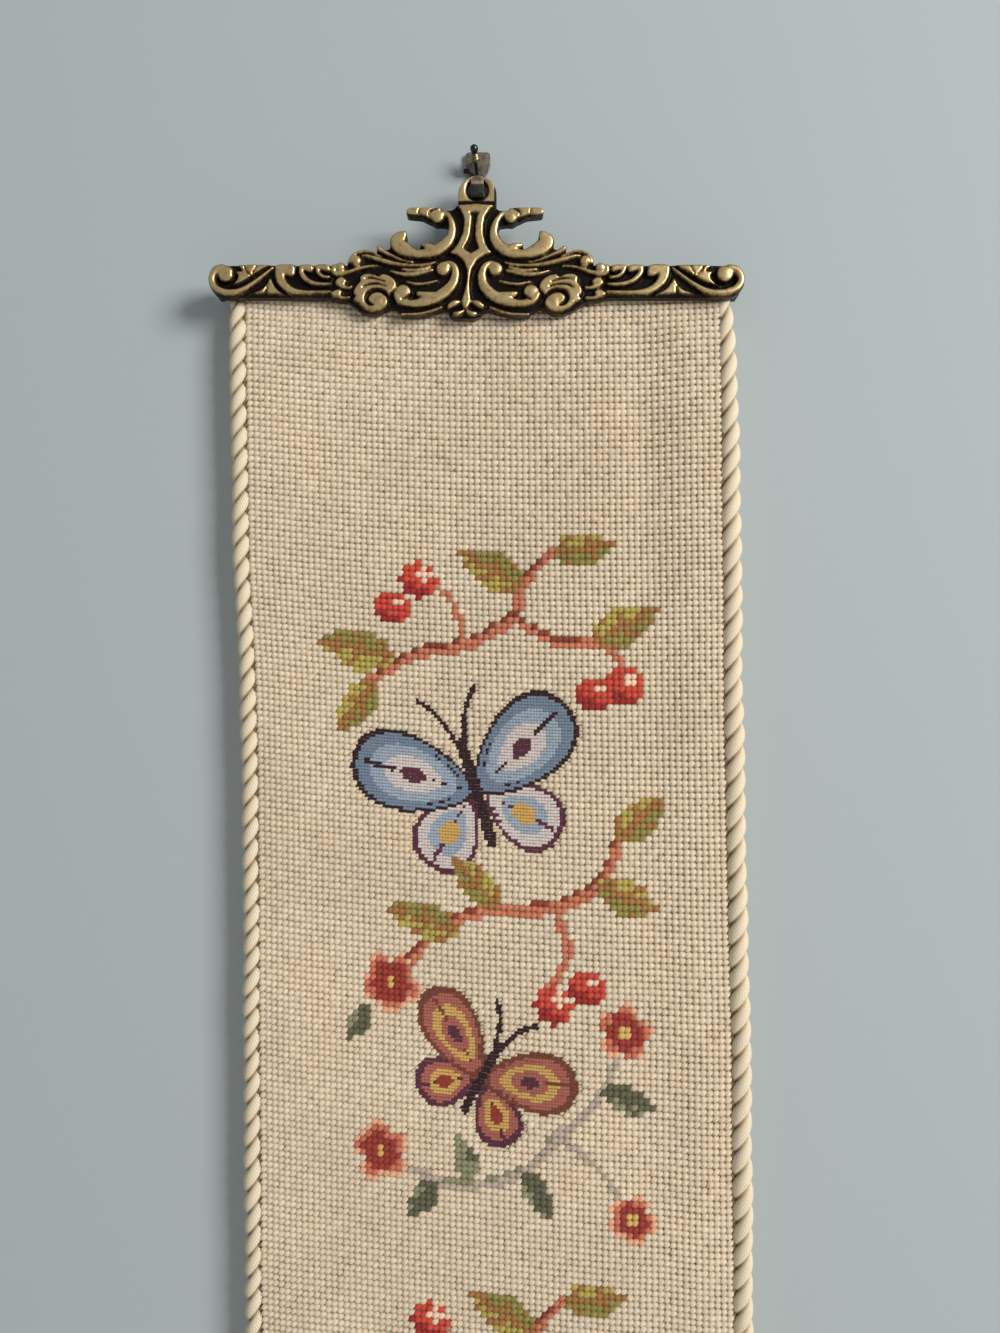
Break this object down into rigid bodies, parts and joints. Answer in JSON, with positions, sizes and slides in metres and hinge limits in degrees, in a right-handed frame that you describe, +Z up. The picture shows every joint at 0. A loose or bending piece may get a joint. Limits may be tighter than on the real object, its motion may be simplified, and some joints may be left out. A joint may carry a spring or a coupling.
{
  "type": "needlepoint bell pull with cast brass header, picture hook and nail",
  "caption": "Long narrow needlepoint wall hanging with twisted edge cords, hung by a sleeve from a rod behind a cast scrollwork header whose eye hangs on a picture hook.",
  "frame": {"origin": "on the back of the picture hook, at the middle of its width, where it lies on the wall", "axes": "+Z up along the band's length, +Y into the wall, +X to the right seen from the front"},
  "size_m": [0.2148, 0.0184, 1.071],
  "materials": {
    "header_brass": "antiqued, near black in the recesses and rubbed bright on the ridges",
    "rod_steel": "plain dull wire",
    "hook_brass": "tarnished sheet brass",
    "nail_steel": "dark, with a worn brass wash on the collar",
    "wool_stitches": "slanted tent stitches in wool, cream with a floral design",
    "wool_cord": "soft twisted cream wool"
  },
  "bodies": {
    "root": {"header": "header_brass", "hanging_eye": "header_brass", "hanging_bar": "rod_steel", "picture_hook": "hook_brass", "nail": "nail_steel", "needlepoint_band": "wool_stitches", "edge_cord_left": "wool_cord", "edge_cord_right": "wool_cord"}
  },
  "joints": []
}
